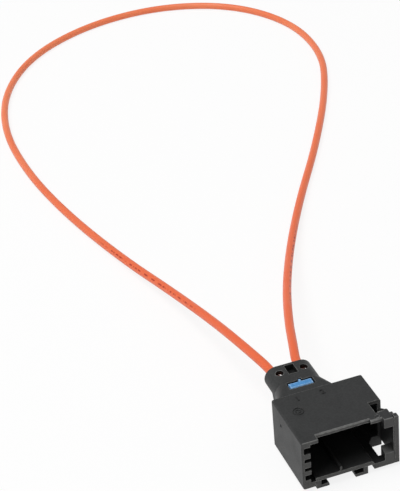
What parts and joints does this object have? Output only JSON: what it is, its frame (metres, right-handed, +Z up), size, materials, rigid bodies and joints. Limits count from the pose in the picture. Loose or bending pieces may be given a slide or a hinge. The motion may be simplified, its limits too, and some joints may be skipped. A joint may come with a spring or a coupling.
{
  "type": "fibre optic loop connector",
  "caption": "Optical loop connector: moulded coupling housing with a coded socket, latch strap and locking plate, and a jacketed fibre cable that loops out of its hood and back in.",
  "frame": {"origin": "centre of the housing's outline on the surface that its rails rest on", "axes": "+Y from the socket towards the hood and the cable, +Z up through the top of the housing, +X towards the latch strap"},
  "size_m": [0.1167, 0.2738, 0.0143],
  "materials": {
    "housing_plastic": "fine moulded texture",
    "lock_plastic": "satin",
    "ferrule_metal": "plated",
    "sleeve_metal": "rolled spring strip",
    "buffer_plastic": "smooth",
    "core_clear": "polished end",
    "jacket_plastic": "smooth extruded"
  },
  "bodies": {
    "connector": {"housing": "housing_plastic", "ferrule_left": "ferrule_metal", "ferrule_right": "ferrule_metal", "sleeve_left": "sleeve_metal", "sleeve_right": "sleeve_metal", "buffer_left": "buffer_plastic", "buffer_right": "buffer_plastic", "fibre_core_left": "core_clear", "fibre_core_right": "core_clear", "cable_jacket": "jacket_plastic"},
    "lock": {"secondary_lock": "lock_plastic"}
  },
  "joints": [
    {"name": "lock_slide", "type": "slide", "parent": "connector", "child": "lock", "axis": [0, 0, 1], "range_m": [0, 0.002]}
  ]
}
